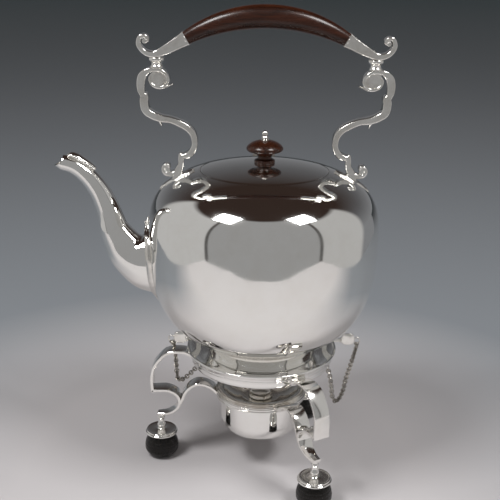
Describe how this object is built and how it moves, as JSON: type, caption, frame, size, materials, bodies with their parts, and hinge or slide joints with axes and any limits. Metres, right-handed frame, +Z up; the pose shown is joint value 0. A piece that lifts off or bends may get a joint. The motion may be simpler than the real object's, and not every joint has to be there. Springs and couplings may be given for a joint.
{
  "type": "spirit kettle on stand",
  "caption": "Bulbous kettle with swan-neck spout, scroll handle, wooden grip and hinged lid, on a strap-legged stand with lift-out spirit burner.",
  "frame": {"origin": "under the middle of the whole object's box, on the surface it stands on", "axes": "+Z up, the spout points to -X, the handle's plane is the XZ plane; the kettle's own axis is 30.6 mm towards +X from the origin"},
  "size_m": [0.2414, 0.1686, 0.3488],
  "materials": {
    "silver": "mirror-polished silver",
    "wood": "polished dark red-brown hardwood",
    "ebony": "ebonised wood with fine turned lines",
    "cotton": "cotton wick"
  },
  "bodies": {
    "stand": {"stand_ring": "silver", "pin_boss_left": "silver", "pin_boss_right": "silver", "chain_left": "silver", "chain_right": "silver", "chain_eye_left": "silver", "chain_eye_right": "silver", "leg_left": "silver", "leg_front": "silver", "leg_rear": "silver", "brace_left": "silver", "brace_front": "silver", "brace_rear": "silver", "foot_cap_left": "silver", "foot_cap_front": "silver", "foot_cap_rear": "silver", "bun_left": "ebony", "bun_front": "ebony", "bun_rear": "ebony", "foot_screws": "silver", "burner_holder": "silver"},
    "kettle": {"kettle_bowl": "silver", "lid_seat": "silver", "foot_collar": "silver", "collar_moulding": "silver", "spout": "silver", "spout_hood": "silver", "spout_plate": "silver", "hinge_leaves": "silver", "hinge_pin": "silver", "grip": "wood", "socket_left": "silver", "socket_right": "silver", "grip_rivets": "silver", "spool_left": "silver", "spool_right": "silver", "arm_left": "silver", "arm_right": "silver", "handle_foot_left": "silver", "handle_foot_right": "silver"},
    "lid": {"lid": "silver", "lid_knuckle": "silver", "finial_neck": "wood", "finial_cap": "wood", "finial_tip": "silver", "finial_nut": "silver"},
    "burner": {"burner_bowl": "silver", "burner_rim": "silver", "burner_plate": "silver", "wick_tube": "silver", "wick": "cotton"},
    "snuffer": {"snuffer_cap": "silver"},
    "left_pin": {"pin_left": "silver"},
    "right_pin": {"pin_right": "silver"}
  },
  "joints": [
    {"name": "kettle_lift", "type": "slide", "parent": "stand", "child": "kettle", "axis": [0, 0, 1], "range_m": [0, 0.06]},
    {"name": "lid_hinge", "type": "hinge", "parent": "kettle", "child": "lid", "pos_m": [0.03057, 0.04865, 0.23392], "axis": [-1, 0, 0], "range_deg": [0, 100]},
    {"name": "left_pin_slide", "type": "slide", "parent": "stand", "child": "left_pin", "axis": [-1, 0, 0], "range_m": [-0.0051, 0.012], "deforming": ["chain_left"]},
    {"name": "right_pin_slide", "type": "slide", "parent": "stand", "child": "right_pin", "axis": [1, 0, 0], "range_m": [-0.0091, 0.008], "deforming": ["chain_right"]},
    {"name": "burner_lift", "type": "slide", "parent": "stand", "child": "burner", "axis": [0, 0, 1], "range_m": [0, 0.02]},
    {"name": "snuffer_lift", "type": "slide", "parent": "burner", "child": "snuffer", "axis": [0, 0, 1], "range_m": [0, 0.01]}
  ]
}
